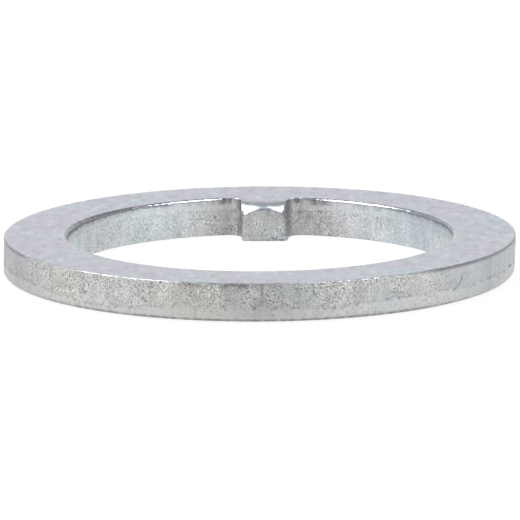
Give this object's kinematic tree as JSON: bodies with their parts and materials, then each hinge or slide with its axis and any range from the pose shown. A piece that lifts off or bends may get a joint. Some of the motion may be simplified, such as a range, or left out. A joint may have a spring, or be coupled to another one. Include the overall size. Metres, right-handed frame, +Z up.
{
  "type": "keyed retaining ring",
  "caption": "Flat punched steel ring with a tab standing into its bore, for holding parts on a keyed spindle.",
  "frame": {"origin": "on the bore's axis, in the plane of the lower face", "axes": "+Z up through the bore, out of the upper face; +Y from the axis to the tab"},
  "size_m": [0.08, 0.08, 0.0061],
  "materials": {
    "zinc_plated_steel": "satin zinc plating, grainy on the torn edges"
  },
  "bodies": {
    "root": {"retaining_ring": "zinc_plated_steel"}
  },
  "joints": []
}
